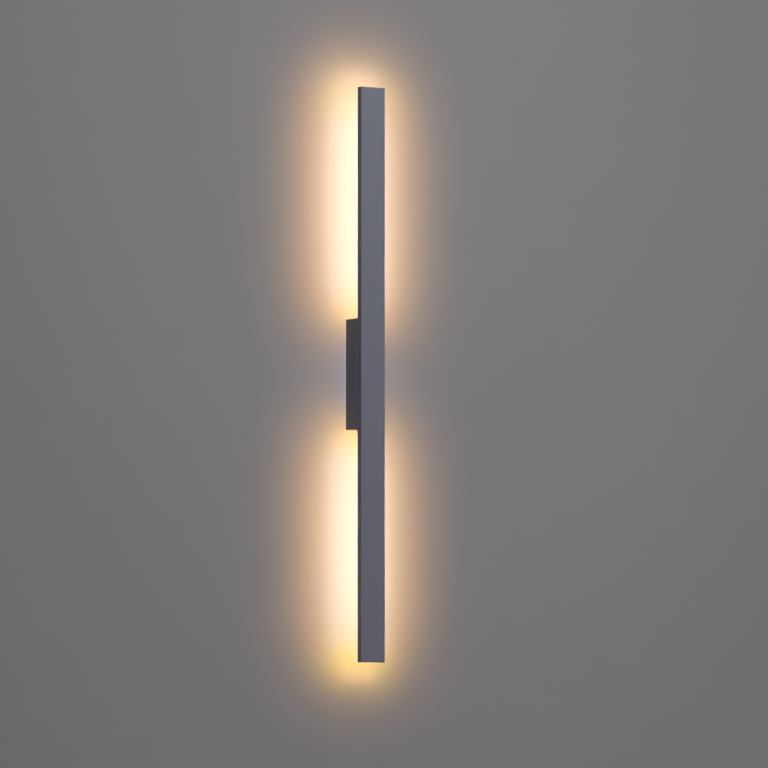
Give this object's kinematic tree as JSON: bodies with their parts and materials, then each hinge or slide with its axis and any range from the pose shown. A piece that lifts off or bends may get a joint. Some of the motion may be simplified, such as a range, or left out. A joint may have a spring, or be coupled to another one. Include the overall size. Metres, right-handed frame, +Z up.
{
  "type": "tube wall light",
  "caption": "Slim flat-bar LED wall light: an aluminium bar stood off the wall by a box housing, glowing onto the wall above and below it.",
  "frame": {"origin": "centre of the wall bracket's rear face, on the wall", "axes": "+Z up along the bar, +Y into the wall, +X to the right of someone who faces the wall"},
  "size_m": [0.04, 0.038, 0.8],
  "materials": {
    "powder_coat": "fine-texture slate grey polyester powder coat on aluminium, satin",
    "opal": "opal polycarbonate, satin",
    "board": "white solder mask on a metal core",
    "chip": "yellow phosphor in a white package",
    "tape": "grey thermally conductive adhesive",
    "white_plastic": "moulded, matt",
    "driver_plastic": "moulded ABS, fine spark texture",
    "potting": "cast resin",
    "zinc_steel": "zinc-plated pressed steel",
    "black_steel": "grey-coated screw",
    "brass": "nickel-free turned brass",
    "rubber": "moulded rubber, matt",
    "brown_lead": "silicone-insulated lead",
    "blue_lead": "silicone-insulated lead",
    "earth_lead": "green and yellow insulated lead",
    "white_lead": "twin low-voltage lead"
  },
  "bodies": {
    "root": {"bar_profile": "powder_coat", "top_end_cap": "powder_coat", "bottom_end_cap": "powder_coat", "end_cap_screws": "black_steel", "housing": "powder_coat", "upper_diffuser": "opal", "lower_diffuser": "opal", "upper_led_board": "board", "lower_led_board": "board", "upper_led_chips": "chip", "lower_led_chips": "chip", "upper_thermal_tape": "tape", "lower_thermal_tape": "tape", "upper_led_connector": "white_plastic", "lower_led_connector": "white_plastic", "nut_plates": "zinc_steel", "housing_screws": "zinc_steel", "lead_grommet": "rubber", "wall_bracket": "zinc_steel", "bracket_screws": "black_steel", "cable_grommet": "rubber", "driver_case": "driver_plastic", "driver_potting": "potting", "driver_lid": "driver_plastic", "driver_screws": "zinc_steel", "terminal_block": "white_plastic", "terminal_clamps": "brass", "terminal_screws": "zinc_steel", "terminal_block_screws": "zinc_steel", "earth_terminal": "zinc_steel", "earth_screw": "zinc_steel", "earth_lead": "earth_lead", "live_lead": "brown_lead", "neutral_lead": "blue_lead", "upper_led_lead": "white_lead", "lower_led_lead": "white_lead"}
  },
  "joints": []
}
